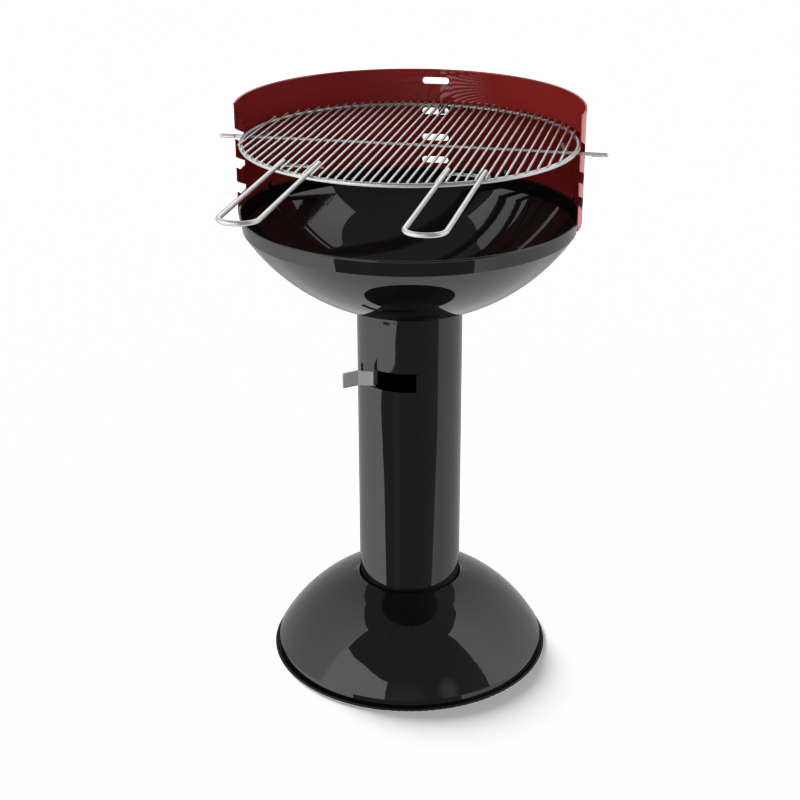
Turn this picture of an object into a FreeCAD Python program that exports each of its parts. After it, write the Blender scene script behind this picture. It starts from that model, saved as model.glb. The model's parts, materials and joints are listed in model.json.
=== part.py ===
import FreeCAD, Part
import math
import os
import re
import Sketcher
from FreeCAD import Placement, Rotation, Vector

# A free-standing pedestal charcoal barbecue, in millimetres, +Z up. The origin is on the
# pedestal's axis at floor level, and -Y is the front, the way the grill's handles point.
# Angles round the axis are counted from the front and grow towards +X.

doc = FreeCAD.newDocument("pedestal_barbecue")
sheet = doc.addObject("Spreadsheet::Sheet", "Sizes")

SIZES = [
    # Ash pan, which stands on the floor
    ("pan_radius", 210.7),
    ("pan_sheet", 1.2),
    ("pan_bead", 2.0),
    ("pan_ridge_inner", 155.0),
    ("pan_ridge_outer", 186.0),
    ("pan_ridge_slope", 7.0),
    ("pan_ridge_height", 26.0),
    ("pan_brim_lift", 0.2),
    # Domed cover over the pan
    ("dome_foot_radius", 204.3),
    ("dome_skirt", 13.3),
    ("dome_sheet", 1.2),
    ("dome_arc", 246.3),
    ("dome_height", 122.7),
    ("dome_lip", 2.5),
    ("dome_neck_gap", 0.8),
    # Pedestal tube and its vent window
    ("tube_radius", 76.0),
    ("tube_wall", 1.2),
    ("window_left_angle", -58.3),
    ("window_right_angle", 16.9),
    ("window_drop", 80.8),
    ("window_height", 28.5),
    # Vent sleeve, its ledge and its lever
    ("sleeve_gap", 0.4),
    ("sleeve_wall", 1.2),
    ("sleeve_height", 58.0),
    ("port_span", 72.0),
    ("port_edge_gap", 0.6),
    ("port_margin", 3.0),
    ("ledge_angle", 40.0),
    ("ledge_width", 12.0),
    ("ledge_height", 4.0),
    ("ledge_inner", 71.0),
    ("lever_angle", -31.5),
    ("lever_bend_angle", -10.8),
    ("lever_bend_radius", 94.6),
    ("lever_tip_angle", -12.7),
    ("lever_tip_radius", 118.3),
    ("lever_tab_span", 18.5),
    ("lever_step", 4.5),
    ("lever_rise", 2.4),
    ("lever_height", 22.0),
    ("lever_sheet", 1.5),
    ("lever_rivet", 1.6),
    ("lever_rivet_head", 2.7),
    ("lever_rivet_head_height", 1.2),
    # Bowl
    ("bowl_rim_radius", 239.6),
    ("bowl_rim_height", 698.4),
    ("bowl_rim_bead", 1.6),
    ("bowl_band_height", 21.9),
    ("bowl_band_draft", 4.0),
    ("bowl_arc", 280.4),
    ("bowl_sheet", 1.2),
    ("bowl_mouth", 62.0),
    # Collar that joins bowl and tube
    ("collar_wall", 1.2),
    ("collar_depth", 30.0),
    ("lug_angle", -16.0),
    ("lug_width", 9.0),
    ("lug_height", 4.0),
    ("lug_drop", 6.5),
    ("lug_inner", 73.4),
    ("lug_recess", 0.9),
    ("collar_screw_angle", -8.2),
    ("collar_screw", 1.6),
    ("collar_screw_head", 2.4),
    ("collar_screw_head_height", 1.3),
    ("collar_screw_end", 3.0),
    # Brackets that join tube and pan
    ("bracket_width", 18.0),
    ("bracket_sheet", 2.0),
    ("bracket_height", 32.0),
    ("bracket_foot", 22.0),
    ("bracket_rivet", 2.0),
    ("bracket_rivet_head", 3.5),
    ("bracket_rivet_head_height", 1.5),
    ("bracket_rivet_rise", 22.4),
    ("stud", 3.0),
    ("stud_length", 13.0),
    ("nut_flats", 10.0),
    ("nut_height", 5.0),
    # Charcoal grate
    ("coal_ring_radius", 88.0),
    ("coal_ring_wire", 2.5),
    ("coal_bar", 2.0),
    ("coal_bar_pitch", 17.0),
    # Windscreen
    ("screen_gap", 1.4),
    ("screen_sheet", 1.0),
    ("screen_overlap", 10.4),
    ("screen_rise", 150.1),
    ("screen_hem", 1.3),
    ("screen_opening", 81.0),
    ("notch_mouth", 25.2),
    ("notch_lip", 9.5),
    ("notch_flat", 6.2),
    ("notch_end", 7.0),
    ("notch_reach", 12.7),
    ("screen_corner", 5.0),
    ("slot_half", 20.8),
    ("slot_height", 11.0),
    ("hand_slot_drop", 17.0),
    ("side_clip_angle", 68.7),
    ("rear_clip_angle", 28.0),
    ("clip_width", 9.0),
    ("clip_sheet", 0.9),
    ("clip_up", 6.6),
    ("clip_down", 6.0),
    ("clip_screw", 1.5),
    ("clip_screw_head", 2.4),
    ("clip_screw_head_height", 1.6),
    ("clip_screw_end", 1.0),
    ("clip_nut_flats", 5.5),
    ("clip_nut_height", 2.4),
    # Cooking grill
    ("grill_angle", -2.5),
    ("grill_rise", 97.4),
    ("grill_gap", 4.5),
    ("grill_ring_wire", 3.0),
    ("grill_bar", 1.6),
    ("grill_bar_pitch", 11.56),
    ("cross_wire", 2.0),
    ("cross_reach", 271.0),
    ("cross_hook", 18.0),
    ("cross_hook_gap", 0.4),
    ("level_step_high", 40.5),
    ("level_step_low", 35.0),
    ("tongue_width", 9.0),
    ("tongue_sheet", 2.0),
    ("tongue_length", 30.0),
    ("tongue_slope", 7.0),
    ("tongue_drop", 3.6),
    ("tongue_reach", 5.0),
    ("handle_wire", 3.0),
    ("handle_start", 165.0),
    ("handle_end", 451.0),
    ("handle_corner", 22.0),
    ("handle_squeeze", 1.1),
    ("tie_wire", 2.0),
    ("tie_length", 62.0),
    # Clearances
    ("seat_gap", 0.3),
    ("weld_gap", 0.05),
    ("hole_gap", 0.1),
    ("cut_past", 1.0),
]

# Sizes that follow from the ones above
DERIVED = [
    ("tube_bore", "tube_radius - tube_wall"),
    ("pan_bead_top", "pan_brim_lift + 2 * pan_bead"),
    ("dome_foot", "pan_brim_lift + pan_sheet + seat_gap"),
    ("dome_hole", "tube_radius + dome_neck_gap"),
    ("tube_foot", "pan_sheet + seat_gap"),
    ("crease_radius", "bowl_rim_radius - bowl_band_draft"),
    ("crease_height", "bowl_rim_height - bowl_band_height"),
    ("bowl_centre", "crease_height + sqrt(bowl_arc ^ 2 - crease_radius ^ 2)"),
    ("bowl_inner_arc", "bowl_arc - bowl_sheet"),
    ("crease_inner", "crease_radius - bowl_sheet"),
    ("crease_inner_height", "bowl_centre - sqrt(bowl_inner_arc ^ 2 - crease_inner ^ 2)"),
    ("tube_top", "bowl_centre - sqrt(bowl_arc ^ 2 - tube_bore ^ 2) - hole_gap"),
    ("window_high", "tube_top - window_drop"),
    ("window_low", "window_high - window_height"),
    ("vent_middle", "(window_low + window_high) / 2"),
    ("sleeve_radius", "tube_bore - sleeve_gap"),
    ("sleeve_bore", "sleeve_radius - sleeve_wall"),
    ("sleeve_low", "vent_middle - sleeve_height / 2"),
    ("ledge_outer", "sqrt(tube_bore ^ 2 - (ledge_width / 2) ^ 2) - weld_gap"),
    ("tab_radius", "sleeve_bore - hole_gap"),
    ("collar_radius", "sleeve_radius"),
    ("collar_bore", "collar_radius - collar_wall"),
    ("collar_top", "bowl_centre - sqrt(bowl_arc ^ 2 - collar_bore ^ 2) - hole_gap"),
    ("lug_middle", "tube_top - lug_drop"),
    ("lug_low", "lug_middle - lug_height / 2"),
    ("coal_reach", "bowl_inner_arc - coal_ring_wire - seat_gap"),
    ("coal_height", "bowl_centre - sqrt(coal_reach ^ 2 - coal_ring_radius ^ 2)"),
    ("screen_low", "bowl_rim_height - screen_overlap"),
    ("screen_high", "bowl_rim_height + screen_rise"),
    ("hand_slot_height", "screen_high - hand_slot_drop"),
    ("screen_inner", "bowl_rim_radius + screen_gap"),
    ("screen_outer", "screen_inner + screen_sheet"),
    ("grill_ring_radius", "screen_inner - grill_gap - grill_ring_wire"),
    ("grill_height", "bowl_rim_height + grill_rise"),
    ("cross_height", "grill_height - grill_ring_wire - cross_wire - weld_gap"),
    ("notch_seat", "cross_height - cross_wire - seat_gap"),
    ("screen_front", "-1 * screen_outer * cos(screen_opening)"),
    ("notch_bend", "-1 * screen_outer * cos(screen_opening + notch_flat)"),
    ("notch_back", "-1 * screen_inner * cos(screen_opening + notch_reach)"),
    ("bar_height", "grill_height + grill_ring_wire + grill_bar + weld_gap"),
    ("handle_height", "grill_height + grill_ring_wire + handle_wire + weld_gap"),
    ("handle_inner", "7.5 * grill_bar_pitch - handle_squeeze"),
    ("handle_outer", "11.5 * grill_bar_pitch + handle_squeeze"),
    ("tie_height", "handle_height - handle_wire - tie_wire - weld_gap"),
    ("clip_seat", "bowl_rim_height + seat_gap"),
    ("clip_screw_height", "clip_seat + clip_up - clip_screw_head"),
    ("clip_face", "sqrt(screen_inner ^ 2 - (clip_width / 2) ^ 2) - hole_gap"),
    ("clip_slope", "bowl_band_draft * clip_down / bowl_band_height"),
    ("clip_inner", "bowl_rim_radius - 2 * bowl_rim_bead - seat_gap - clip_slope"),
    ("bracket_face", "sqrt(tube_bore ^ 2 - (bracket_width / 2) ^ 2) - hole_gap"),
    ("foot_rivet_height", "tube_foot + bracket_rivet_rise"),
    ("stud_radius", "bracket_face - bracket_foot / 2 - bracket_sheet"),
]

MIDDLE_SEAT = "notch_seat - level_step_high"
LOW_SEAT = MIDDLE_SEAT + " - level_step_low"
NOTCH_SEATS = ("notch_seat", MIDDLE_SEAT, LOW_SEAT)
LEVER_RIVET_ANGLES = ("lever_angle - 0.25 * lever_tab_span", "lever_angle - 0.75 * lever_tab_span")
CLIP_TURNS = ("-1 * side_clip_angle", "-1 * rear_clip_angle", "rear_clip_angle", "side_clip_angle")
CLIP_ANGLES = tuple(f"180 + {turn}" for turn in CLIP_TURNS)
FUNCTIONS = {"sqrt", "sin", "cos"}


def bound(text):
    """Writes a formula of size names the way the document reads it."""

    def from_sheet(match):
        word = match.group(0)
        return word if word in FUNCTIONS else "Sizes." + word

    return re.sub(r"[a-z][a-z_0-9]*", from_sheet, text)


def fill_sheet():
    for row, (name, value) in enumerate(SIZES + DERIVED, start=1):
        sheet.set(f"A{row}", name)
        sheet.set(f"B{row}", "=" + value if isinstance(value, str) else str(value))
        sheet.setAlias(f"B{row}", name)
    doc.recompute()


def value_of(formula):
    """The present value of a formula of size names."""
    answer = sheet.evalExpression(bound(formula))
    return float(getattr(answer, "Value", answer))


def around(radius, angle):
    """X and Y formulas of a point at a radius and an angle from the front."""
    return (f"({radius}) * sin({angle})", f"-1 * ({radius}) * cos({angle})")


def new_body(name, turned=False):
    """A body; a turned one is set at the cooking grill's own angle round the axis."""
    body = doc.addObject("PartDesign::Body", name)
    body.Label = name
    body.AllowCompound = True
    if turned:
        turn_with_grill(body)
    return body


def turn_with_grill(item):
    item.Placement = Placement(Vector(0, 0, 0), Rotation(Vector(0, 0, 1), value_of("grill_angle")))
    item.setExpression("Placement.Rotation.Angle", bound("grill_angle"))


def origin_of(body, role):
    return next(item for item in body.Origin.OriginFeatures if item.Role == role)


def new_sketch(body, name, plane, lift="0", turn=None):
    """A sketch on one of the body's own planes, turned about +Z and then lifted off the axis."""
    sketch = body.newObject("Sketcher::SketchObject", name)
    sketch.AttachmentSupport = [(origin_of(body, plane), "")]
    sketch.MapMode = "FlatFace"
    if turn is None:
        sketch.setExpression("AttachmentOffset.Base.z", bound(lift))
        return sketch
    sketch.AttachmentOffset = Placement(Vector(0, 0, 0), Rotation(Vector(0, 1, 0), value_of(turn)))
    sketch.setExpression("AttachmentOffset.Rotation.Angle", bound(turn))
    sketch.setExpression("AttachmentOffset.Base.x", bound(f"({lift}) * sin({turn})"))
    sketch.setExpression("AttachmentOffset.Base.z", bound(f"({lift}) * cos({turn})"))
    return sketch


def pin(sketch, geometry, end, x, y):
    """Holds a point of the sketch at two formulas."""
    for kind, formula in (("DistanceX", x), ("DistanceY", y)):
        constraint = Sketcher.Constraint(kind, -1, 1, geometry, end, value_of(formula))
        number = sketch.addConstraint(constraint)
        sketch.setExpression(f"Constraints[{number}]", bound(formula))


def hold_radius(sketch, geometry, radius):
    number = sketch.addConstraint(Sketcher.Constraint("Radius", geometry, value_of(radius)))
    sketch.setExpression(f"Constraints[{number}]", bound(radius))


def add_arc(sketch, start, stop, radius, side):
    """An arc from start to stop whose centre is on the left (side 1) or right (side -1)."""
    chord = stop - start
    across = Vector(-chord.y, chord.x, 0).normalize()
    rise = math.sqrt(max(radius**2 - (chord.Length / 2) ** 2, 0.0))
    centre = start + chord * 0.5 + across * rise * side
    first, last = (start, stop) if side > 0 else (stop, start)
    begin = math.atan2(first.y - centre.y, first.x - centre.x)
    end = math.atan2(last.y - centre.y, last.x - centre.x)
    if end < begin:
        end += 2 * math.pi
    sketch.addGeometry(Part.ArcOfCircle(Part.Circle(centre, Vector(0, 0, 1), radius), begin, end), False)


def outline(sketch, corners, closed=True):
    """Draws lines and arcs through corners, each (x, y) or (x, y, radius, side).

    The last two say that the way to this corner is an arc of that radius, with its centre on
    the left (side 1) or on the right (side -1).
    """
    first = sketch.GeometryCount
    points = [Vector(value_of(corner[0]), value_of(corner[1]), 0) for corner in corners]
    ways = list(range(1, len(corners)))
    if closed:
        ways.append(0)
    ends = []
    for to in ways:
        start, stop, corner = points[to - 1], points[to], corners[to]
        if len(corner) == 2:
            sketch.addGeometry(Part.LineSegment(start, stop), False)
            ends.append((1, 2))
        else:
            add_arc(sketch, start, stop, value_of(corner[2]), corner[3])
            ends.append((1, 2) if corner[3] > 0 else (2, 1))
    for step, to in enumerate(ways):
        geometry = first + step
        begin = ends[step][0]
        if step:
            before = ends[step - 1][1]
            sketch.addConstraint(Sketcher.Constraint("Coincident", geometry - 1, before, geometry, begin))
        pin(sketch, geometry, begin, corners[to - 1][0], corners[to - 1][1])
        if len(corners[to]) > 2:
            hold_radius(sketch, geometry, corners[to][2])
    last = first + len(ways) - 1
    if closed:
        sketch.addConstraint(Sketcher.Constraint("Coincident", last, ends[-1][1], first, ends[0][0]))
    else:
        pin(sketch, last, ends[-1][1], corners[-1][0], corners[-1][1])
    return sketch


def strip_outline(sketch, points, thickness, side):
    """Draws a bent strip: one face through the points, the other on its left (1) or right (-1)."""
    spots = [Vector(value_of(x), value_of(y), 0) for x, y in points]
    thick = value_of(thickness)
    normals = []
    for start, stop in zip(spots, spots[1:]):
        way = (stop - start).normalize()
        normals.append(Vector(-way.y, way.x, 0) * side)
    far = [spots[0] + normals[0] * thick]
    for before, after, spot in zip(normals, normals[1:], spots[1:]):
        far.append(spot + (before + after) * (thick / (1 + before.dot(after))))
    far.append(spots[-1] + normals[-1] * thick)
    loop = spots + far[::-1]
    total = len(loop)
    for number in range(total):
        sketch.addGeometry(Part.LineSegment(loop[number], loop[(number + 1) % total]), False)
    for number in range(total):
        sketch.addConstraint(Sketcher.Constraint("Coincident", number, 2, (number + 1) % total, 1))
    for number, (x, y) in enumerate(points):
        pin(sketch, number, 1, x, y)
    for number in range(len(points) - 1):
        other = total - 2 - number
        sketch.addConstraint(Sketcher.Constraint("Parallel", number, other))
        made = sketch.addConstraint(Sketcher.Constraint("Distance", other, 1, number, thick))
        sketch.setExpression(f"Constraints[{made}]", bound(thickness))
    sketch.addConstraint(Sketcher.Constraint("Perpendicular", len(points) - 2, len(points) - 1))
    sketch.addConstraint(Sketcher.Constraint("Perpendicular", 0, total - 1))
    return sketch


def circle(sketch, x, y, radius):
    centre = Vector(value_of(x), value_of(y), 0)
    number = sketch.addGeometry(Part.Circle(centre, Vector(0, 0, 1), value_of(radius)), False)
    hold_radius(sketch, number, radius)
    pin(sketch, number, 3, x, y)
    return sketch


def box_outline(sketch, half_width, low, high):
    left = f"-1 * ({half_width})"
    return outline(sketch, [(left, low), (half_width, low), (half_width, high), (left, high)])


def hexagon(sketch, y, flats):
    """A nut's outline, centred on the sketch's own vertical axis."""
    point = f"({flats}) / sqrt(3)"
    side = f"({flats}) / 2"
    corners = [
        ("0", f"({y}) + {point}"),
        (f"-1 * {side}", f"({y}) + {point} / 2"),
        (f"-1 * {side}", f"({y}) - {point} / 2"),
        ("0", f"({y}) - {point}"),
        (side, f"({y}) - {point} / 2"),
        (side, f"({y}) + {point} / 2"),
    ]
    return outline(sketch, corners)


def revolve(body, sketch, angle="360", midplane=False):
    feature = body.newObject("PartDesign::Revolution", sketch.Name + "_turned")
    feature.Profile = sketch
    feature.ReferenceAxis = (sketch, ["V_Axis"])
    feature.Midplane = midplane
    feature.setExpression("Angle", bound(angle))
    return feature


def pad(body, sketch, length, midplane=False):
    feature = body.newObject("PartDesign::Pad", sketch.Name + "_pad")
    feature.Profile = sketch
    feature.setExpression("Length", bound(length))
    feature.Midplane = midplane
    return feature


def pocket(body, sketch, length, midplane=False, backward=False):
    """Cuts from the sketch along its normal, or against it, and makes sure that something went."""
    doc.recompute()
    before = body.Tip.Shape.Volume
    feature = body.newObject("PartDesign::Pocket", sketch.Name + "_cut")
    feature.Profile = sketch
    feature.setExpression("Length", bound(length))
    feature.Midplane = midplane
    feature.Reversed = not backward
    doc.recompute()
    if feature.Shape.Volume > before - 0.01:
        raise ValueError(sketch.Name + " cuts nothing")
    return feature


def polar(body, features, count, angle="360"):
    feature = body.newObject("PartDesign::PolarPattern", features[0].Name + "_round")
    feature.Originals = features
    feature.Axis = (origin_of(body, "Z_Axis"), [""])
    feature.Occurrences = count
    feature.setExpression("Angle", bound(angle))
    body.Tip = feature
    return feature


def wire_pipe(body, path, plane, lift, x, y, radius):
    """Sweeps a round wire along the path, from its end at the plane's lift."""
    end = new_sketch(body, body.Name + "_section", plane, lift=lift)
    circle(end, x, y, radius)
    feature = body.newObject("PartDesign::AdditivePipe", body.Name + "_pipe")
    feature.Profile = end
    feature.Spine = path
    return feature


def parallel_bars(name, radius, pitch, ring, wire, height):
    """Bars along Y, one in the middle, that lie across a ring and end level with its outside.

    The outermost bars keep half a pitch or more from the ring's own middle.
    """
    reach = f"{ring} + {wire}"
    side_bars = int(value_of(ring) / value_of(pitch) - 0.5)
    bars = []
    for number in range(-side_bars, side_bars + 1):
        away = f"{number} * {pitch}"
        half = f"sqrt(({reach}) ^ 2 - ({away}) ^ 2)"
        bar = doc.addObject("Part::Cylinder", f"{name}_{number + side_bars}")
        bar.Placement = Placement(Vector(0, 0, 0), Rotation(Vector(1, 0, 0), -90))
        bar.setExpression("Radius", bound(radius))
        bar.setExpression("Height", bound("2 * " + half))
        bar.setExpression("Placement.Base.x", bound(away))
        bar.setExpression("Placement.Base.y", bound("-1 * " + half))
        bar.setExpression("Placement.Base.z", bound(height))
        bars.append(bar)
    group = doc.addObject("Part::Compound", name)
    group.Label = name
    group.Links = bars
    return group


def wire_ring(name, radius, wire, height, turned=False):
    body = new_body(name, turned)
    section = new_sketch(body, name + "_section", "XZ_Plane")
    circle(section, radius, height, wire)
    revolve(body, section)
    return body


def short_tube(name, outer, inner, low, high):
    body = new_body(name)
    section = new_sketch(body, name + "_section", "XZ_Plane")
    outline(section, [(inner, low), (outer, low), (outer, high), (inner, high)])
    revolve(body, section)
    return body


def cut_wedge(body, name, low, high, left, right):
    """Opens the wall between two heights and two angles."""
    reach = "tube_radius * 2"
    wedge = new_sketch(body, name, "XY_Plane", lift=low)
    middle = f"(({left}) + ({right})) / 2"
    outline(wedge, [("0", "0"), around(reach, left), around(reach, middle), around(reach, right)])
    return pocket(body, wedge, f"({high}) - ({low})")


def bore_radially(body, name, angle, height, radius):
    """A round hole through the wall on one side of the axis."""
    hole = new_sketch(body, name, "XZ_Plane", turn=angle)
    circle(hole, "0", height, radius)
    return pocket(body, hole, "tube_radius + cut_past")


def radial_pins(name, steps, angles):
    """Pins that point out from the axis; steps lists (radius, inner end, outer end, height)."""
    body = new_body(name)
    for number, angle in enumerate(angles):
        for step, (radius, inner, outer, height) in enumerate(steps):
            end = new_sketch(body, f"{name}_{number}_{step}", "XZ_Plane", lift=inner, turn=angle)
            circle(end, "0", height, radius)
            pad(body, end, f"({outer}) - ({inner})")
    return body


def make_ash_pan():
    """One drawn sheet: a flat floor, a raised ridge and a rolled rim."""
    body = new_body("ash_pan")
    section = new_sketch(body, "pan_section", "XZ_Plane")
    top_in = "pan_ridge_inner + pan_ridge_slope"
    top_out = "pan_ridge_outer - pan_ridge_slope"
    bead_mid = "pan_radius - pan_bead"
    bead_in = "pan_radius - 2 * pan_bead"
    bead_height = "pan_brim_lift + pan_bead"
    outline(
        section,
        [
            ("0", "0"),
            ("pan_ridge_inner", "0"),
            (top_in, "pan_ridge_height - pan_sheet"),
            (top_out, "pan_ridge_height - pan_sheet"),
            ("pan_ridge_outer", "pan_brim_lift"),
            (bead_mid, "pan_brim_lift"),
            ("pan_radius", bead_height, "pan_bead", 1),
            (bead_mid, "pan_bead_top", "pan_bead", 1),
            (bead_in, bead_height, "pan_bead", 1),
            (bead_in, "pan_brim_lift + pan_sheet"),
            ("pan_ridge_outer + pan_sheet", "pan_brim_lift + pan_sheet"),
            (f"{top_out} + pan_sheet", "pan_ridge_height"),
            (f"{top_in} - pan_sheet", "pan_ridge_height"),
            ("pan_ridge_inner - pan_sheet", "pan_sheet"),
            ("0", "pan_sheet"),
        ],
    )
    revolve(body, section)


def make_foot_dome():
    body = new_body("foot_dome")
    section = new_sketch(body, "dome_section", "XZ_Plane")
    skirt_top = "dome_foot + dome_skirt"
    lip_radius = "dome_hole + dome_lip"
    lip_low = "dome_height - dome_lip"
    inner_foot = "dome_foot_radius - dome_sheet"
    outline(
        section,
        [
            (inner_foot, "dome_foot"),
            ("dome_foot_radius", "dome_foot"),
            ("dome_foot_radius", skirt_top),
            (lip_radius, "dome_height", "dome_arc", 1),
            ("dome_hole", lip_low, "dome_lip", 1),
            ("dome_hole + dome_sheet", lip_low),
            (lip_radius, "dome_height - dome_sheet", "dome_lip - dome_sheet", -1),
            (inner_foot, skirt_top, "dome_arc - dome_sheet", -1),
        ],
    )
    revolve(body, section)


def make_pedestal_tube():
    body = short_tube("pedestal_tube", "tube_radius", "tube_bore", "tube_foot", "tube_top")
    cut_wedge(body, "vent_window", "window_low", "window_high", "window_left_angle", "window_right_angle")
    slot = new_sketch(body, "lug_slot", "XZ_Plane", turn="lug_angle")
    box_outline(slot, "lug_width / 2 + seat_gap", "lug_low - seat_gap", "lug_low + lug_height + seat_gap")
    polar(body, [pocket(body, slot, "tube_radius + cut_past")], 3)
    screw_hole = "collar_screw + hole_gap"
    polar(body, [bore_radially(body, "screw_hole", "collar_screw_angle", "lug_middle", screw_hole)], 3)
    rivet_hole = "bracket_rivet + hole_gap"
    polar(body, [bore_radially(body, "rivet_hole", "0", "foot_rivet_height", rivet_hole)], 3)


def make_shutter_ledges():
    """Three lugs inside the tube that carry the vent sleeve."""
    body = new_body("shutter_ledges")
    lug = new_sketch(body, "ledge", "XZ_Plane", lift="ledge_inner", turn="ledge_angle")
    box_outline(lug, "ledge_width / 2", "sleeve_low - seat_gap - ledge_height", "sleeve_low - seat_gap")
    polar(body, [pad(body, lug, "ledge_outer - ledge_inner")], 3)


def make_vent_sleeve():
    sleeve_high = "sleeve_low + sleeve_height"
    body = short_tube("vent_sleeve", "sleeve_radius", "sleeve_bore", "sleeve_low", sleeve_high)
    port_low = "window_low - port_margin"
    port_high = "window_high + port_margin"
    port_left = "lever_angle - port_edge_gap"
    port_right = "lever_angle + port_span"
    cut_wedge(body, "port", port_low, port_high, port_left, port_right)
    for number, angle in enumerate(LEVER_RIVET_ANGLES):
        bore_radially(body, f"sleeve_rivet_{number}", angle, "vent_middle", "lever_rivet + hole_gap")


def make_vent_lever():
    """A bent strip: a tab behind the sleeve, a step out through the port and a free arm."""
    body = new_body("vent_lever")
    plan = new_sketch(body, "lever_plan", "XY_Plane", lift="vent_middle + lever_rise - lever_height / 2")
    points = [
        around("tab_radius", "lever_angle - lever_tab_span"),
        around("tab_radius", "lever_angle"),
        around("tube_radius + lever_step", "lever_angle"),
        around("lever_bend_radius", "lever_angle + lever_bend_angle"),
        around("lever_tip_radius", "lever_angle + lever_tip_angle"),
    ]
    strip_outline(plan, points, "lever_sheet", 1)
    pad(body, plan, "lever_height")
    for number, angle in enumerate(LEVER_RIVET_ANGLES):
        bore_radially(body, f"tab_rivet_{number}", angle, "vent_middle", "lever_rivet + hole_gap")


def make_lever_rivets():
    face = "tab_radius * cos(lever_tab_span / 2) - lever_sheet - hole_gap"
    steps = [
        ("lever_rivet", face, "sleeve_radius", "vent_middle"),
        ("lever_rivet_head", f"{face} - lever_rivet_head_height", face, "vent_middle"),
    ]
    radial_pins("lever_rivets", steps, LEVER_RIVET_ANGLES)


def make_bowl():
    """A shallow round dish with an upright band, a rolled rim and an open mouth below."""
    body = new_body("bowl")
    section = new_sketch(body, "bowl_section", "XZ_Plane")
    bead_mid = "bowl_rim_radius - bowl_rim_bead"
    bead_in = "bowl_rim_radius - 2 * bowl_rim_bead"
    bead_height = "bowl_rim_height - bowl_rim_bead"
    mouth_low = "bowl_centre - sqrt(bowl_arc ^ 2 - bowl_mouth ^ 2)"
    mouth_top = "bowl_centre - sqrt(bowl_inner_arc ^ 2 - bowl_mouth ^ 2)"
    outline(
        section,
        [
            ("bowl_mouth", mouth_low),
            ("crease_radius", "crease_height", "bowl_arc", 1),
            (bead_mid, "bowl_rim_height - 2 * bowl_rim_bead"),
            ("bowl_rim_radius", bead_height, "bowl_rim_bead", 1),
            (bead_mid, "bowl_rim_height", "bowl_rim_bead", 1),
            (bead_in, bead_height, "bowl_rim_bead", 1),
            ("crease_inner", "crease_inner_height"),
            ("bowl_mouth", mouth_top, "bowl_inner_arc", -1),
        ],
    )
    revolve(body, section)


def make_bowl_collar():
    collar_low = "collar_top - collar_depth"
    body = short_tube("bowl_collar", "collar_radius", "collar_bore", collar_low, "collar_top")
    lug = new_sketch(body, "lug", "XZ_Plane", lift="lug_inner", turn="lug_angle")
    box_outline(lug, "lug_width / 2", "lug_low", "lug_low + lug_height")
    polar(body, [pad(body, lug, "tube_radius - lug_inner - lug_recess")], 3)
    screw_hole = "collar_screw + hole_gap"
    polar(body, [bore_radially(body, "collar_hole", "collar_screw_angle", "lug_middle", screw_hole)], 3)


def make_collar_screws():
    seat = "tube_radius + hole_gap"
    steps = [
        ("collar_screw", "collar_bore - collar_screw_end", seat, "lug_middle"),
        ("collar_screw_head", seat, f"{seat} + collar_screw_head_height", "lug_middle"),
    ]
    angles = [f"collar_screw_angle + {turn}" for turn in (0, 120, 240)]
    radial_pins("collar_screws", steps, angles)


def make_foot_brackets():
    body = new_body("foot_brackets")
    side = new_sketch(body, "bracket_side", "YZ_Plane")
    points = [
        ("-1 * bracket_face", "tube_foot + bracket_height"),
        ("-1 * bracket_face", "tube_foot"),
        ("bracket_foot - bracket_face", "tube_foot"),
    ]
    strip_outline(side, points, "bracket_sheet", 1)
    leg = pad(body, side, "bracket_width", midplane=True)
    rivet_cut = bore_radially(body, "leg_hole", "0", "foot_rivet_height", "bracket_rivet + hole_gap")
    stud_hole = new_sketch(body, "stud_hole", "XY_Plane")
    circle(stud_hole, "0", "-1 * stud_radius", "stud + seat_gap")
    stud_cut = pocket(body, stud_hole, "tube_foot + bracket_height")
    polar(body, [leg, rivet_cut, stud_cut], 3)


def make_foot_rivets():
    inner = "bracket_face - bracket_sheet - hole_gap"
    outer = "tube_radius + hole_gap"
    thick = "bracket_rivet_head_height"
    steps = [
        ("bracket_rivet", inner, outer, "foot_rivet_height"),
        ("bracket_rivet_head", outer, f"{outer} + {thick}", "foot_rivet_height"),
        ("bracket_rivet_head", f"{inner} - {thick}", inner, "foot_rivet_height"),
    ]
    radial_pins("foot_rivets", steps, ("0", "120", "240"))


def make_foot_studs():
    body = new_body("foot_studs")
    base = new_sketch(body, "stud_base", "XY_Plane", lift="pan_sheet")
    circle(base, "0", "-1 * stud_radius", "stud")
    polar(body, [pad(body, base, "stud_length")], 3)


def make_foot_nuts():
    body = new_body("foot_nuts")
    base = new_sketch(body, "nut_base", "XY_Plane", lift="tube_foot + bracket_sheet + hole_gap")
    hexagon(base, "-1 * stud_radius", "nut_flats")
    circle(base, "0", "-1 * stud_radius", "stud + hole_gap")
    polar(body, [pad(body, base, "nut_height")], 3)


def make_windscreen():
    body = new_body("windscreen")
    section = new_sketch(body, "screen_section", "YZ_Plane")
    hem_low = "screen_high - 2 * screen_hem"
    outline(
        section,
        [
            ("screen_inner", "screen_low"),
            ("screen_outer", "screen_low"),
            ("screen_outer", hem_low),
            ("screen_outer + screen_hem - screen_sheet / 2", "screen_high - screen_hem", "screen_hem", 1),
            ("screen_outer - screen_sheet / 2", "screen_high", "screen_hem", 1),
            ("screen_outer - screen_hem - screen_sheet / 2", "screen_high - screen_hem", "screen_hem", 1),
            ("screen_inner", hem_low),
        ],
    )
    revolve(body, section, "360 - 2 * screen_opening", midplane=True)
    pocket(body, draw_notches(body), "3 * screen_outer", midplane=True)
    pocket(body, draw_back_slots(body), "2 * screen_outer", backward=True)


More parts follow.
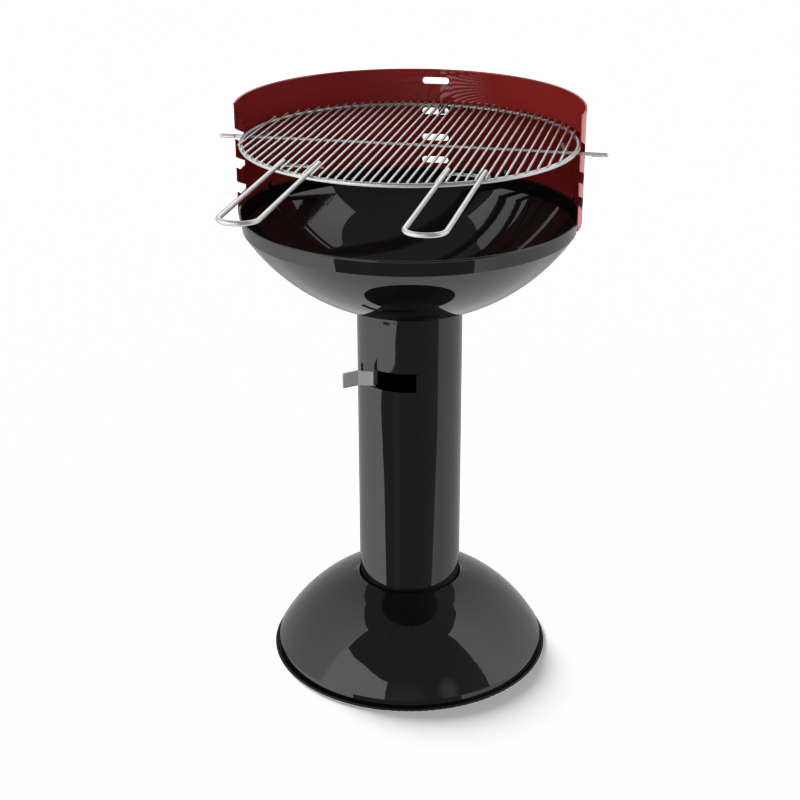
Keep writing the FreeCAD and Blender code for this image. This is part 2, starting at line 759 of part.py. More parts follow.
def draw_notches(body):
    """The hooked notches in the front edges and the rounded corners below them, seen from the side."""
    notches = new_sketch(body, "side_notches", "YZ_Plane")
    ahead = "screen_front - screen_corner"
    for seat in NOTCH_SEATS:
        outline(
            notches,
            [
                ("screen_front", f"{seat} + notch_lip"),
                ("notch_bend", seat),
                ("notch_back", seat),
                ("notch_back", f"{seat} + notch_end"),
                ("screen_front", f"{seat} + notch_mouth"),
                (ahead, f"{seat} + notch_mouth"),
                (ahead, f"{seat} + notch_lip"),
            ],
        )
    outline(
        notches,
        [
            (ahead, "screen_low - cut_past"),
            ("screen_front + screen_corner", "screen_low - cut_past"),
            ("screen_front + screen_corner", "screen_low"),
            ("screen_front", "screen_low + screen_corner", "screen_corner", -1),
            (ahead, "screen_low + screen_corner"),
        ],
    )
    return notches


def draw_back_slots(body):
    """The hand slot at the top and one slot for the grill's tongue at each level."""
    slots = new_sketch(body, "back_slots", "XZ_Plane")
    radius = "slot_height / 2"
    straight = f"slot_half - {radius}"
    heights = ["hand_slot_height"] + [f"{seat} - tongue_drop" for seat in NOTCH_SEATS]
    for height in heights:
        low = f"{height} - {radius}"
        high = f"{height} + {radius}"
        outline(
            slots,
            [
                (f"-1 * ({straight})", low, radius, 1),
                (straight, low),
                ("slot_half", height, radius, 1),
                (straight, high, radius, 1),
                (f"-1 * ({straight})", high),
                ("-1 * slot_half", height, radius, 1),
            ],
        )
    return slots


def make_screen_clips():
    """Bent strips that hang the screen on the bowl's rim."""
    body = new_body("screen_clips")
    points = [
        ("clip_face", "clip_seat + clip_up"),
        ("clip_face", "clip_seat"),
        ("clip_inner", "clip_seat"),
        ("clip_inner", "clip_seat - clip_down"),
    ]
    for number, turn in enumerate(CLIP_TURNS):
        side = new_sketch(body, f"clip_side_{number}", "YZ_Plane", turn=turn)
        strip_outline(side, points, "clip_sheet", -1)
        pad(body, side, "clip_width", midplane=True)


def make_screen_screws():
    inner = "clip_face - clip_sheet - hole_gap"
    steps = [
        ("clip_screw", inner, "screen_outer + clip_nut_height + clip_screw_end", "clip_screw_height"),
        ("clip_screw_head", f"{inner} - clip_screw_head_height", inner, "clip_screw_height"),
    ]
    radial_pins("screen_screws", steps, CLIP_ANGLES)


def make_screen_nuts():
    body = new_body("screen_nuts")
    lift = "screen_outer + seat_gap"
    for number, angle in enumerate(CLIP_ANGLES):
        face = new_sketch(body, f"screen_nut_{number}", "XZ_Plane", lift=lift, turn=angle)
        hexagon(face, "clip_screw_height", "clip_nut_flats")
        circle(face, "0", "clip_screw_height", "clip_screw + hole_gap")
        pad(body, face, "clip_nut_height")


def bore_for_screws():
    """Holes for the clip screws through the screen and the clips."""
    for name in ("windscreen", "screen_clips"):
        body = doc.getObject(name)
        for number, angle in enumerate(CLIP_ANGLES):
            hole = new_sketch(body, f"{name}_hole_{number}", "XZ_Plane", turn=angle)
            circle(hole, "0", "clip_screw_height", "clip_screw + hole_gap")
            pocket(body, hole, "screen_outer + cut_past")


def make_cross_wire():
    """A straight wire across the grill with each end folded back level, on the front side."""
    body = new_body("grill_cross_wire", turned=True)
    path = new_sketch(body, "cross_path", "XY_Plane", lift="cross_height")
    fold = "cross_wire + cross_hook_gap / 2"
    ahead = f"-2 * ({fold})"
    middle = f"-1 * ({fold})"
    corners = [
        ("cross_hook - cross_reach", ahead),
        ("-1 * cross_reach", ahead),
        (f"-1 * (cross_reach + {fold})", middle, fold, -1),
        ("-1 * cross_reach", "0", fold, -1),
        ("cross_reach", "0"),
        (f"cross_reach + {fold}", middle, fold, -1),
        ("cross_reach", ahead, fold, -1),
        ("cross_reach - cross_hook", ahead),
    ]
    outline(path, corners, closed=False)
    wire_pipe(body, path, "YZ_Plane", "cross_hook - cross_reach", ahead, "cross_height", "cross_wire")


def make_rear_tongue():
    """A bent strip under the middle bar and the ring that enters a slot of the screen."""
    body = new_body("grill_rear_tongue", turned=True)
    side = new_sketch(body, "tongue_side", "YZ_Plane")
    under_bar = "grill_height + grill_ring_wire"
    under_ring = "grill_height - grill_ring_wire - weld_gap"
    ring_inside = "grill_ring_radius - grill_ring_wire"
    ring_outside = "grill_ring_radius + grill_ring_wire"
    level = "notch_seat - tongue_drop"
    points = [
        ("grill_ring_radius - tongue_length", under_bar),
        (f"{ring_inside} - tongue_slope", under_bar),
        (ring_inside, under_ring),
        ("grill_ring_radius", under_ring),
        (ring_outside, level),
        ("screen_outer + tongue_reach", level),
    ]
    strip_outline(side, points, "tongue_sheet", -1)
    pad(body, side, "tongue_width", midplane=True)


def make_handle(name, side):
    """A loop of wire that lies on the ring, between the bars, and reaches out to the front."""
    body = new_body(name, turned=True)
    path = new_sketch(body, name + "_path", "XY_Plane", lift="handle_height")
    inner = f"{side} * handle_inner"
    outer = f"{side} * handle_outer"
    inner_turn = f"{side} * (handle_inner + handle_corner)"
    outer_turn = f"{side} * (handle_outer - handle_corner)"
    corner_start = "handle_corner - handle_end"
    corners = [
        (inner, "-1 * handle_start"),
        (inner, corner_start),
        (inner_turn, "-1 * handle_end", "handle_corner", side),
        (outer_turn, "-1 * handle_end"),
        (outer, corner_start, "handle_corner", side),
        (outer, "-1 * handle_start"),
    ]
    outline(path, corners, closed=False)
    wire_pipe(body, path, "XZ_Plane", "handle_start", inner, "handle_height", "handle_wire")


def make_handle_tie(name, side):
    """A short wire under the two legs of a handle and the bars beside them."""
    body = new_body(name, turned=True)
    left = f"{side} * (handle_inner + handle_outer) / 2 - tie_length / 2"
    end = new_sketch(body, name + "_end", "YZ_Plane", lift=left)
    circle(end, "-1 * (handle_start + tie_wire)", "tie_height", "tie_wire")
    pad(body, end, "tie_length")


def make_cooking_grill():
    wire_ring("grill_ring", "grill_ring_radius", "grill_ring_wire", "grill_height", turned=True)
    ring = ("grill_ring_radius", "grill_ring_wire")
    bars = parallel_bars("grill_bars", "grill_bar", "grill_bar_pitch", *ring, "bar_height")
    turn_with_grill(bars)
    make_cross_wire()
    make_rear_tongue()
    for name, side in (("left", -1), ("right", 1)):
        make_handle("handle_" + name, side)
        make_handle_tie("handle_tie_" + name, side)


def make_charcoal_grate():
    wire_ring("grate_ring", "coal_ring_radius", "coal_ring_wire", "coal_height")
    height = "coal_height + coal_ring_wire + coal_bar + weld_gap"
    ring = ("coal_ring_radius", "coal_ring_wire")
    parallel_bars("grate_bars", "coal_bar", "coal_bar_pitch", *ring, height)


def solids_written(folder):
    """Checks every object and writes one file for each sub-part."""
    os.makedirs(folder, exist_ok=True)
    for item in doc.Objects:
        if "Invalid" in item.State or "Error" in item.State:
            raise ValueError(f"{item.Name} is {item.State}")
    nodes = [item for item in doc.Objects if item.TypeId in ("PartDesign::Body", "Part::Compound")]
    for node in nodes:
        shape = node.Shape
        if shape.isNull() or not shape.isValid() or not shape.Solids:
            raise ValueError(node.Label + " has no valid solid")
        shape.exportStep(os.path.join(folder, node.Label + ".step"))
        print(node.Label, len(shape.Solids), "solids,", round(shape.Volume / 1000, 2), "cm3")
    return nodes


fill_sheet()
make_ash_pan()
make_foot_brackets()
make_foot_studs()
make_foot_nuts()
make_foot_rivets()
make_foot_dome()
make_pedestal_tube()
make_shutter_ledges()
make_vent_sleeve()
make_vent_lever()
make_lever_rivets()
make_bowl_collar()
make_collar_screws()
make_bowl()
make_windscreen()
make_screen_clips()
make_screen_screws()
make_screen_nuts()
bore_for_screws()
make_cooking_grill()
make_charcoal_grate()
doc.recompute()
solids_written("parts")
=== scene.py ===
import json
import math

import bmesh
import bpy
from mathutils import Matrix, Vector


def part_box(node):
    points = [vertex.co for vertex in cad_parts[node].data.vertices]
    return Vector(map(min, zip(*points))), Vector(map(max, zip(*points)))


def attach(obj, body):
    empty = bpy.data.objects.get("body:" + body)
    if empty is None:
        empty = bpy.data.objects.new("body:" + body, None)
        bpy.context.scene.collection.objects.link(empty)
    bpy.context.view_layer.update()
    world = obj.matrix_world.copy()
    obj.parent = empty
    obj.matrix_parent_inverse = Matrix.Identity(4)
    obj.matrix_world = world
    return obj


# A pedestal charcoal barbecue, in metres. +Z is up, and -Y is the front, the way the grill's
# handles point. The photograph was taken from a little to the right of the front.

PHOTO_SIDE = 800
PHOTO_AXIS_X = 409.7
PHOTO_LEVEL_Y = 400.5
PHOTO_FOCAL = 1575.8
SENSOR = 36.0
CAMERA_TURN = 9.5
CAMERA_PITCH = 22.98
CAMERA_AWAY = 2.153
CAMERA_HEIGHT = 1.318

# The studio that shiny faces mirror, in degrees. Azimuths are counted from the camera's side
# and grow to its right; elevations are counted from level. These are their whole ranges.
AROUND = (-180, 180)
UPWARD = (-90, 90)

# A bright wall on the left and a fainter one on the right, each from its near to its far end.
# Past the far ends the light fades to the back's level. In front one wall blends into the
# other, mostly behind the dark screen.
LEFT_NEAR = -21
LEFT_FAR = -76
LEFT_CORNER = -79
RIGHT_NEAR = 69
RIGHT_FAR = 85
FADED_BY = 145
LEFT_LEVEL = 1.4
LEFT_LOW_LEVEL = 1.2
LEFT_CORNER_LEVEL = 1.0
RIGHT_LEVEL = 1.1
RIGHT_LOW_LEVEL = 0.6
BACK_LEVEL = 0.5
# Brightness by azimuth, above and below the level of the eye
HIGH_WALLS = [
    (-180, BACK_LEVEL),
    (-FADED_BY, BACK_LEVEL),
    (LEFT_CORNER, LEFT_CORNER_LEVEL),
    (LEFT_FAR, LEFT_LEVEL),
    (LEFT_NEAR, LEFT_LEVEL),
    (RIGHT_NEAR, RIGHT_LEVEL),
    (RIGHT_FAR, RIGHT_LEVEL),
    (FADED_BY, BACK_LEVEL),
    (180, BACK_LEVEL),
]
LOW_WALLS = [
    (-180, BACK_LEVEL),
    (-FADED_BY, BACK_LEVEL),
    (LEFT_FAR, LEFT_LOW_LEVEL),
    (LEFT_NEAR, LEFT_LEVEL),
    (RIGHT_NEAR, RIGHT_LOW_LEVEL),
    (RIGHT_FAR, RIGHT_LOW_LEVEL),
    (FADED_BY, BACK_LEVEL),
    (180, BACK_LEVEL),
]
# The elevations between which the low walls blend into the high ones
WALLS_MEET = (-14, 2)
# The walls' top edge: the highest bright elevation by azimuth
WALL_TOPS = [
    (-180, 44),
    (-145, 45),
    (-120, 57),
    (-76.5, 60),
    (-76, 42),
    (-50, 42),
    (-21, 37),
    (69, 60),
    (120, 57),
    (145, 45),
    (180, 44),
]
# The floor that shiny faces mirror: it brightens downwards between two elevations
FLOOR_LEVEL = 0.80
FLOOR_EDGE = (-38, -14)
# The dark screen round the camera: its left and right edges by elevation, and its foot
FLAG_LEFT = [
    (-46, -24),
    (-37, -24),
    (-34, -50),
    (-29, -57),
    (-26, -60),
    (-22.6, -69),
    (-21.8, -33),
    (-19, -26),
    (-15, -21),
    (90, -21),
]
FLAG_RIGHT = [
    (-46, 71),
    (-37, 71),
    (-33, 42),
    (-29, 54),
    (-24, 65),
    (-19, 67),
    (-15, 69),
    (90, 69),
]
FLAG_FOOT = -46
# A bright backdrop behind the object: its soft lower and upper edges, and its soft sides
BACKDROP_FOOT = (8, 20)
BACKDROP_TOP = (42, 46)
BACKDROP_SIDE = (150, 166)
BACKDROP_LEVEL = 1.6
# Faint glows on the dark screen: azimuth, elevation, half width and level
GLOWS = [(34, 28, 16, 0.40), (-6, 14, 55, 0.26), (-30, -26, 24, 0.18)]
DARK_LEVEL = 0.12
# The highest brightness and the highest elevation that a ramp of stops can hold
LEVEL_TOP = 2.0
ELEVATION_TOP = 90

# What a mirrored mirror image keeps of the studio's brightness, and the bounce that ends the
# first mirror image
SECOND_MIRROR = 0.12
FIRST_BOUNCE = 1.5

# Plain light from around, bright near the horizon and faint overhead
PLAIN_LEVEL = 0.7
PLAIN_OVERHEAD = 0.12
PLAIN_EDGE = (25, 55)

# Far lamps: the way each shines, its width in degrees and its power. The key lights the object
# alone and the others the floor alone. Only the pan shades the floor's key.
KEY = ((0.042, -0.058, -1.0), 5.2, 2.6)
FLOOR_KEY = ((1.9, -2.3, -1.0), 18, 35.0)
FLOOR_FILL = ((0, 0, -1), 5, 5.5)
# Near lamps for the object alone: place, point aimed at, size and power
NEAR_LAMPS = {
    "left": ((-2.5, -0.8, 1.55), (0, 0, 0.8), 0.9, 28),
    "right": ((2.2, 0.5, 0.45), (0, 0, 0.75), 0.6, 90),
}

FLOOR_REACH = 9.0
FLOOR_DROP = 0.0005
FLOOR_TONES = ((0.8, 0.8, 0.8), (0.79, 0.79, 0.79))
FLOOR_ROUGHNESS = 0.9

# Base colours; an enamel wanders between two
BLACK_TONES = ((0.006, 0.006, 0.0062), (0.0045, 0.0045, 0.0047))
RED_TONES = ((0.30, 0.022, 0.020), (0.27, 0.018, 0.016))
SATIN_COLOUR = (0.008, 0.008, 0.008)
WIRE_COLOUR = (0.94, 0.95, 0.94)
ZINC_COLOUR = (0.80, 0.80, 0.81)
DARK_WIRE_COLOUR = (0.34, 0.33, 0.32)

# A weld bead's half sizes away from the axis, along its ring and upwards, as shares of the
# bar's radius
WELD_SHAPE = (0.8, 1.75, 0.42)
# Points of a wire beyond this share of its half length belong to its end faces
END_SHARE = 0.99
SAME_POINT = 1e-6

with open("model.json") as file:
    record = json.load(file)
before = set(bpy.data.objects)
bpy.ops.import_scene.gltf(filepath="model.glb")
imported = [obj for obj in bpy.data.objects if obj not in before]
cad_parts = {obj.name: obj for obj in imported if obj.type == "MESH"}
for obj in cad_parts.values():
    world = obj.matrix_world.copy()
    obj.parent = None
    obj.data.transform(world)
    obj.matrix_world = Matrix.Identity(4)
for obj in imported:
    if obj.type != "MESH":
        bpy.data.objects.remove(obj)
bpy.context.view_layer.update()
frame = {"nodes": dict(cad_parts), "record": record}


def new_material(name):
    """An empty node material with its output and one Principled shader."""
    material = bpy.data.materials.new(name)
    material.use_nodes = True
    tree = material.node_tree
    tree.nodes.clear()
    output = tree.nodes.new("ShaderNodeOutputMaterial")
    shader = tree.nodes.new("ShaderNodeBsdfPrincipled")
    tree.links.new(shader.outputs["BSDF"], output.inputs["Surface"])
    return material, tree, shader


def feed(tree, socket, value):
    """Sets a socket to a number, or links it to another node's output."""
    if isinstance(value, (int, float)):
        socket.default_value = value
    else:
        tree.links.new(value, socket)


def maths(tree, operation, *values):
    """The result of a Math node."""
    node = tree.nodes.new("ShaderNodeMath")
    node.operation = operation
    for socket, value in zip(node.inputs, values):
        feed(tree, socket, value)
    return node.outputs["Value"]


def noise(tree, scale, detail=4.0, roughness=0.5, stretch=(1, 1, 1)):
    """A noise texture in the object's own coordinates, stretched along an axis where asked."""
    place = tree.nodes.new("ShaderNodeTexCoord")
    mapping = tree.nodes.new("ShaderNodeMapping")
    mapping.inputs["Scale"].default_value = stretch
    texture = tree.nodes.new("ShaderNodeTexNoise")
    texture.inputs["Scale"].default_value = scale
    texture.inputs["Detail"].default_value = detail
    texture.inputs["Roughness"].default_value = roughness
    tree.links.new(place.outputs["Object"], mapping.inputs["Vector"])
    tree.links.new(mapping.outputs["Vector"], texture.inputs["Vector"])
    return texture.outputs["Fac"]


def spread(tree, source, low, high, start=0.3, stop=0.7, smooth=False):
    """Maps a value's range from start to stop to the range from low to high."""
    scale = tree.nodes.new("ShaderNodeMapRange")
    if smooth:
        scale.interpolation_type = "SMOOTHSTEP"
    scale.inputs["From Min"].default_value = start
    scale.inputs["From Max"].default_value = stop
    scale.inputs["To Min"].default_value = low
    scale.inputs["To Max"].default_value = high
    tree.links.new(source, scale.inputs["Value"])
    return scale.outputs["Result"]


def two_colours(tree, factor, first, second):
    """A mix of two colours."""
    mix = tree.nodes.new("ShaderNodeMix")
    mix.data_type = "RGBA"
    mix.inputs["A"].default_value = (*first, 1)
    mix.inputs["B"].default_value = (*second, 1)
    tree.links.new(factor, mix.inputs["Factor"])
    return mix.outputs["Result"]


def tint(tree, shader, grain, first, second):
    """A base colour that wanders between two tones."""
    colour = two_colours(tree, spread(tree, grain, 0, 1), first, second)
    tree.links.new(colour, shader.inputs["Base Color"])


def gloss(tree, shader, grain, low, high):
    """A roughness that wanders between two values."""
    tree.links.new(spread(tree, grain, low, high), shader.inputs["Roughness"])


def bump(tree, shader, height, strength, distance):
    """Small relief in the surface's shading."""
    node = tree.nodes.new("ShaderNodeBump")
    node.inputs["Strength"].default_value = strength
    node.inputs["Distance"].default_value = distance
    tree.links.new(height, node.inputs["Height"])
    tree.links.new(node.outputs["Normal"], shader.inputs["Normal"])


def enamel(name, tones, roughness, index):
    """Fired enamel: glassy, faintly uneven, with a slight orange peel."""
    material, tree, shader = new_material(name)
    shader.inputs["IOR"].default_value = index
    tint(tree, shader, noise(tree, 6.0), *tones)
    gloss(tree, shader, noise(tree, 35.0, detail=6.0), roughness * 0.7, roughness * 1.4)
    bump(tree, shader, noise(tree, 140.0, detail=2.0), strength=0.04, distance=0.0002)
    return material


def satin_paint(name, colour, roughness, index):
    """Dull stoving paint with a fine grain."""
    material, tree, shader = new_material(name)
    shader.inputs["IOR"].default_value = index
    tint(tree, shader, noise(tree, 12.0), colour, [part * 0.8 for part in colour])
    gloss(tree, shader, noise(tree, 60.0), roughness * 0.9, roughness * 1.1)
    bump(tree, shader, noise(tree, 600.0, detail=3.0), strength=0.1, distance=0.0001)
    return material


def bright_wire(name, colour, roughness):
    """Plated wire with fine draw lines and slight clouding."""
    material, tree, shader = new_material(name)
    shader.inputs["Metallic"].default_value = 1.0
    tint(tree, shader, noise(tree, 40.0), colour, [part * 0.88 for part in colour])
    gloss(tree, shader, noise(tree, 300.0), roughness * 0.8, roughness * 1.25)
    bump(tree, shader, noise(tree, 900.0, detail=2.0), strength=0.12, distance=0.0001)
    return material


def zinc_sheet(name, colour, roughness):
    """Zinc-plated sheet with rolling lines."""
    material, tree, shader = new_material(name)
    shader.inputs["Metallic"].default_value = 1.0
    lines = noise(tree, 120.0, detail=5.0, stretch=(1, 1, 14))
    tint(tree, shader, lines, colour, [part * 0.85 for part in colour])
    gloss(tree, shader, lines, roughness * 0.8, roughness * 1.2)
    bump(tree, shader, lines, strength=0.15, distance=0.0002)
    return material


def give(material, names):
    """Makes a material the only one of some CAD nodes."""
    for name in names:
        mesh = frame["nodes"][name].data
        mesh.materials.clear()
        mesh.materials.append(material)


def nodes_of(slot):
    """The CAD nodes that the record gives a material slot."""
    return [part["node"] for part in frame["record"]["subparts"] if part["material_slot"] == slot]


def paint_nodes():
    """Paints every CAD node and returns the materials by slot."""
    made = {
        "black_enamel": enamel("black", BLACK_TONES, roughness=0.018, index=1.7),
        "black_paint": satin_paint("black_satin", SATIN_COLOUR, roughness=0.5, index=1.3),
        "red_enamel": enamel("red", RED_TONES, roughness=0.03, index=1.6),
        "chromed_wire": bright_wire("wire", WIRE_COLOUR, roughness=0.44),
        "zinc": zinc_sheet("zinc_plate", ZINC_COLOUR, roughness=0.42),
        "coal_wire": bright_wire("dark_wire", DARK_WIRE_COLOUR, roughness=0.42),
    }
    for slot, material in made.items():
        give(material, nodes_of(slot))
    return made


def strands(node):
    """The two ends of each straight wire in a node, as the middles of its end faces."""
    mesh = frame["nodes"][node].data
    shell = bmesh.new()
    shell.from_mesh(mesh)
    bmesh.ops.remove_doubles(shell, verts=shell.verts, dist=SAME_POINT)
    shell.verts.index_update()
    met = set()
    found = []
    for first in shell.verts:
        if first.index in met:
            continue
        met.add(first.index)
        group = [first]
        for vertex in group:
            for edge in vertex.link_edges:
                other = edge.other_vert(vertex)
                if other.index not in met:
                    met.add(other.index)
                    group.append(other)
        points = [vertex.co.copy() for vertex in group]
        middle = sum(points, Vector()) / len(points)
        far = max(points, key=lambda point: (point - middle).length)
        way = (far - middle).normalized()
        reach = max((point - middle).dot(way) for point in points)
        edge_line = reach * END_SHARE
        front = [point for point in points if (point - middle).dot(way) > edge_line]
        back = [point for point in points if (point - middle).dot(way) < -edge_line]
        ends = [sum(side, Vector()) / len(side) for side in (front, back)]
        found.append(sorted(ends, key=lambda end: end.y))
    shell.free()
    return found


def ring_of(node):
    """The middle radius, wire radius and middle height of a ring node."""
    low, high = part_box(node)
    wire = (high[2] - low[2]) / 2
    return (high[1] - low[1]) / 2 - wire, wire, (high[2] + low[2]) / 2


def add_nugget(shell, place, turn, size):
    """A small flattened bead of weld metal."""
    spot = Matrix.Translation(place) @ Matrix.Rotation(turn, 4, "Z") @ Matrix.Diagonal((*size, 1))
    bmesh.ops.create_icosphere(shell, subdivisions=2, radius=1.0, matrix=spot)


def add_welds(name, ring_node, bar_node, body, material):
    """Weld beads on both sides of each bar where it crosses its ring."""
    radius, wire, height = ring_of(ring_node)
    bars = strands(bar_node)
    low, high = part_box(bar_node)
    bar_wire = (high[2] - low[2]) / 2
    size = [bar_wire * share for share in WELD_SHAPE]
    shell = bmesh.new()
    for start, stop in bars:
        way = (stop - start).normalized()
        middle = (start + stop) / 2
        away = math.hypot(middle.x, middle.y)
        half = math.sqrt(radius**2 - away**2)
        for side in (-1, 1):
            crossing = middle + way * half * side
            crossing.z = height + wire
            add_nugget(shell, crossing, math.atan2(crossing.y, crossing.x), size)
    mesh = bpy.data.meshes.new(name)
    shell.to_mesh(mesh)
    shell.free()
    mesh.polygons.foreach_set("use_smooth", [True] * len(mesh.polygons))
    mesh.materials.append(material)
    piece = bpy.data.objects.new(name, mesh)
    bpy.context.scene.collection.objects.link(piece)
    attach(piece, body)
    return piece


def ramp(tree, source, low, high, stops, top):
    """Reads a value from stops over the range from low to high; values lie between 0 and top."""
    node = tree.nodes.new("ShaderNodeValToRGB")
    tree.links.new(spread(tree, source, 0, 1, low, high), node.inputs["Fac"])
    elements = node.color_ramp.elements
    while len(elements) < len(stops):
        elements.new(1.0)
    for element, (place, value) in zip(elements, stops):
        element.position = (place - low) / (high - low)
        element.color = (value / top,) * 3 + (1,)
    return maths(tree, "MULTIPLY", node.outputs["Color"], top)


def edge_by_height(tree, height, stops):
    """The azimuth of an edge at each elevation."""
    shifted = [(place, azimuth + 180) for place, azimuth in stops]
    return maths(tree, "SUBTRACT", ramp(tree, height, *UPWARD, shifted, 360), 180)


def directions(tree):
    """Azimuth and elevation, in degrees, of the direction that a ray leaves in."""
    place = tree.nodes.new("ShaderNodeTexCoord")
    turn = tree.nodes.new("ShaderNodeVectorRotate")
    turn.rotation_type = "Z_AXIS"
    turn.inputs["Angle"].default_value = math.radians(-CAMERA_TURN)
    tree.links.new(place.outputs["Generated"], turn.inputs["Vector"])
    split = tree.nodes.new("ShaderNodeSeparateXYZ")
    tree.links.new(turn.outputs["Vector"], split.inputs["Vector"])
    front = maths(tree, "MULTIPLY", split.outputs["Y"], -1.0)
    around = maths(tree, "DEGREES", maths(tree, "ARCTAN2", split.outputs["X"], front))
    height = maths(tree, "DEGREES", maths(tree, "ARCSINE", split.outputs["Z"]))
    return around, height


def wall_light(tree, around, height):
    """The walls up to their top edge, less the dark screen, and the floor below its foot."""
    high = ramp(tree, around, *AROUND, HIGH_WALLS, LEVEL_TOP)
    low = ramp(tree, around, *AROUND, LOW_WALLS, LEVEL_TOP)
    share = spread(tree, height, 0, 1, *WALLS_MEET, smooth=True)
    level = maths(tree, "MULTIPLY_ADD", maths(tree, "SUBTRACT", high, low), share, low)
    level = maths(tree, "MAXIMUM", level, spread(tree, height, FLOOR_LEVEL, 0, *FLOOR_EDGE))
    top = ramp(tree, around, *AROUND, WALL_TOPS, ELEVATION_TOP)
    below_top = maths(tree, "LESS_THAN", height, top)
    past_left = maths(tree, "GREATER_THAN", around, edge_by_height(tree, height, FLAG_LEFT))
    before_right = maths(tree, "LESS_THAN", around, edge_by_height(tree, height, FLAG_RIGHT))
    above_foot = maths(tree, "GREATER_THAN", height, FLAG_FOOT)
    flag = maths(tree, "MULTIPLY", maths(tree, "MULTIPLY", past_left, before_right), above_foot)
    lit = maths(tree, "MULTIPLY", below_top, maths(tree, "SUBTRACT", 1.0, flag))
    walls = maths(tree, "MULTIPLY", level, lit)
    on_floor = maths(tree, "LESS_THAN", height, FLAG_FOOT)
    walls = maths(tree, "MULTIPLY", walls, maths(tree, "SUBTRACT", 1.0, on_floor))
    return maths(tree, "MULTIPLY_ADD", on_floor, FLOOR_LEVEL, walls)


def backdrop_light(tree, around, height):
    """The backdrop, with soft edges all round."""
    behind = spread(tree, maths(tree, "ABSOLUTE", around), 0, 1, *BACKDROP_SIDE, smooth=True)
    raised = spread(tree, height, 0, 1, *BACKDROP_FOOT, smooth=True)
    lowered = spread(tree, height, BACKDROP_LEVEL, 0, *BACKDROP_TOP, smooth=True)
    return maths(tree, "MULTIPLY", maths(tree, "MULTIPLY", behind, raised), lowered)


def glow_light(tree, around, height, azimuth, elevation, width, strength):
    """A round soft spot."""
    across = maths(tree, "POWER", maths(tree, "SUBTRACT", around, azimuth), 2.0)
    upward = maths(tree, "POWER", maths(tree, "SUBTRACT", height, elevation), 2.0)
    away = maths(tree, "SQRT", maths(tree, "ADD", across, upward))
    return spread(tree, away, strength, 0, 0, width, smooth=True)


def studio_reflection(tree, around, height):
    """The brightest of the walls, the backdrop and the glows in each direction."""
    total = maths(tree, "MAXIMUM", wall_light(tree, around, height), DARK_LEVEL)
    total = maths(tree, "MAXIMUM", total, backdrop_light(tree, around, height))
    for spot in GLOWS:
        total = maths(tree, "MAXIMUM", total, glow_light(tree, around, height, *spot))
    return total


def add_world():
    """White for the camera and through glass, a studio for reflections and plain grey light."""
    scene = bpy.context.scene
    world = bpy.data.worlds.new("studio")
    scene.world = world
    world.use_nodes = True
    tree = world.node_tree
    tree.nodes.clear()
    output = tree.nodes.new("ShaderNodeOutputWorld")
    background = tree.nodes.new("ShaderNodeBackground")
    tree.links.new(background.outputs["Background"], output.inputs["Surface"])
    path = tree.nodes.new("ShaderNodeLightPath")
    around, height = directions(tree)
    through = path.outputs["Is Transmission Ray"]
    seen = maths(tree, "MAXIMUM", path.outputs["Is Camera Ray"], through)
    plain = spread(tree, height, PLAIN_LEVEL, PLAIN_OVERHEAD, *PLAIN_EDGE, smooth=True)
    mirrored = path.outputs["Is Glossy Ray"]
    first = maths(tree, "LESS_THAN", path.outputs["Glossy Depth"], FIRST_BOUNCE)
    faded = maths(tree, "MAXIMUM", first, SECOND_MIRROR)
    studio = maths(tree, "MULTIPLY", studio_reflection(tree, around, height), faded)
    either = maths(tree, "MAXIMUM", seen, mirrored)
    lit = maths(tree, "MULTIPLY", plain, maths(tree, "SUBTRACT", 1.0, either))
    strength = maths(tree, "ADD", maths(tree, "MULTIPLY_ADD", studio, mirrored, lit), seen)
    background.inputs["Color"].default_value = (1, 1, 1, 1)
    tree.links.new(strength, background.inputs["Strength"])


def collection_of(name, objects):
    """A collection outside the scene, for a lamp's lists of what it lights and what shades."""
    made = bpy.data.collections.new(name)
    for item in objects:
        made.objects.link(item)
    return made


def add_lamp(name, data, power, way, lights):
    """A lamp that shines one way on some objects and that shiny faces don't mirror."""
    data.energy = power
    lamp = bpy.data.objects.new(name, data)
    bpy.context.scene.collection.objects.link(lamp)
    lamp.rotation_euler = Vector(way).to_track_quat("-Z", "Y").to_euler()
    lamp.visible_glossy = False
    lamp.light_linking.receiver_collection = lights
    return lamp


def add_near_lamp(name, place, aim, size, power, lights):
    """A square lamp at a place."""
    data = bpy.data.lights.new(name, "AREA")
    data.shape = "SQUARE"
    data.size = size
    lamp = add_lamp(name, data, power, Vector(aim) - Vector(place), lights)
    lamp.location = place


def add_far_lamp(name, way, width, power, lights):
    """A lamp like the sun; its width is an angle in degrees."""
    data = bpy.data.lights.new(name, "SUN")
    data.angle = math.radians(width)
    return add_lamp(name, data, power, way, lights)


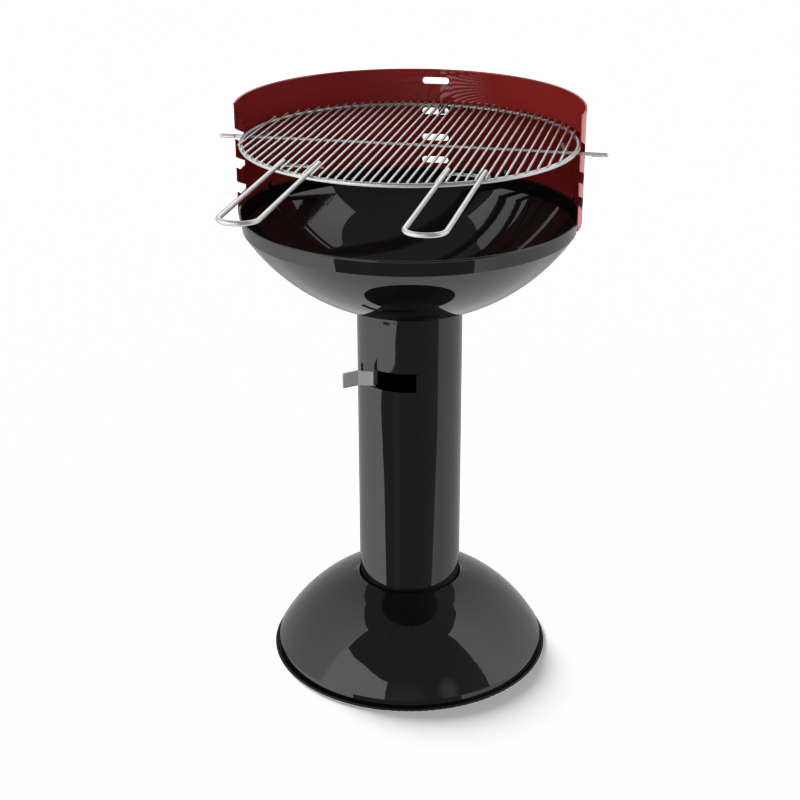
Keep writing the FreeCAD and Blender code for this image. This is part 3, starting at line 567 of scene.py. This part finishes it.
def add_lights(floor, welds):
    """Lamps for the object, and others for the floor and the shadow on it."""
    nodes = frame["nodes"]
    product = collection_of("product", [*nodes.values(), *welds])
    foot = collection_of("foot", [nodes["ash_pan"]])
    ground = collection_of("ground", [floor])
    add_far_lamp("key", *KEY, product)
    for name, lamp in NEAR_LAMPS.items():
        add_near_lamp(name, *lamp, product)
    shadowed = add_far_lamp("floor_key", *FLOOR_KEY, ground)
    shadowed.light_linking.blocker_collection = foot
    even = add_far_lamp("floor_fill", *FLOOR_FILL, ground)
    even.light_linking.blocker_collection = ground


def add_floor():
    """A white floor that takes the object's shadow and fades into the white surroundings."""
    mesh = bpy.data.meshes.new("floor")
    signs = ((-1, -1), (1, -1), (1, 1), (-1, 1))
    corners = [(x * FLOOR_REACH, y * FLOOR_REACH, 0) for x, y in signs]
    mesh.from_pydata(corners, [], [(0, 1, 2, 3)])
    floor = bpy.data.objects.new("floor", mesh)
    bpy.context.scene.collection.objects.link(floor)
    floor.location.z = -FLOOR_DROP
    floor.is_shadow_catcher = True
    floor.visible_glossy = False
    floor.visible_diffuse = False
    material, tree, shader = new_material("floor_white")
    tint(tree, shader, noise(tree, 2.0), *FLOOR_TONES)
    shader.inputs["Roughness"].default_value = FLOOR_ROUGHNESS
    mesh.materials.append(material)
    return floor


def add_camera():
    """The photograph's camera."""
    scene = bpy.context.scene
    data = bpy.data.cameras.new("camera")
    data.sensor_width = SENSOR
    data.lens = PHOTO_FOCAL * SENSOR / PHOTO_SIDE
    data.shift_x = -(PHOTO_AXIS_X - PHOTO_SIDE / 2) / PHOTO_SIDE
    data.shift_y = (PHOTO_LEVEL_Y - PHOTO_SIDE / 2) / PHOTO_SIDE
    camera = bpy.data.objects.new("camera", data)
    scene.collection.objects.link(camera)
    turn = math.radians(CAMERA_TURN)
    camera.location = (CAMERA_AWAY * math.sin(turn), -CAMERA_AWAY * math.cos(turn), CAMERA_HEIGHT)
    camera.rotation_euler = (math.radians(90 - CAMERA_PITCH), 0, turn)
    scene.camera = camera


bpy.context.scene.view_settings.view_transform = "Standard"
add_camera()
finishes = paint_nodes()
welds = []
for name, ring, bars, body, slot in (
    ("grill_welds", "grill_ring", "grill_bars", "cooking_grill", "chromed_wire"),
    ("grate_welds", "grate_ring", "grate_bars", "charcoal_grate", "coal_wire"),
):
    welds.append(add_welds(name, ring, bars, body, finishes[slot]))
add_world()
add_lights(add_floor(), welds)
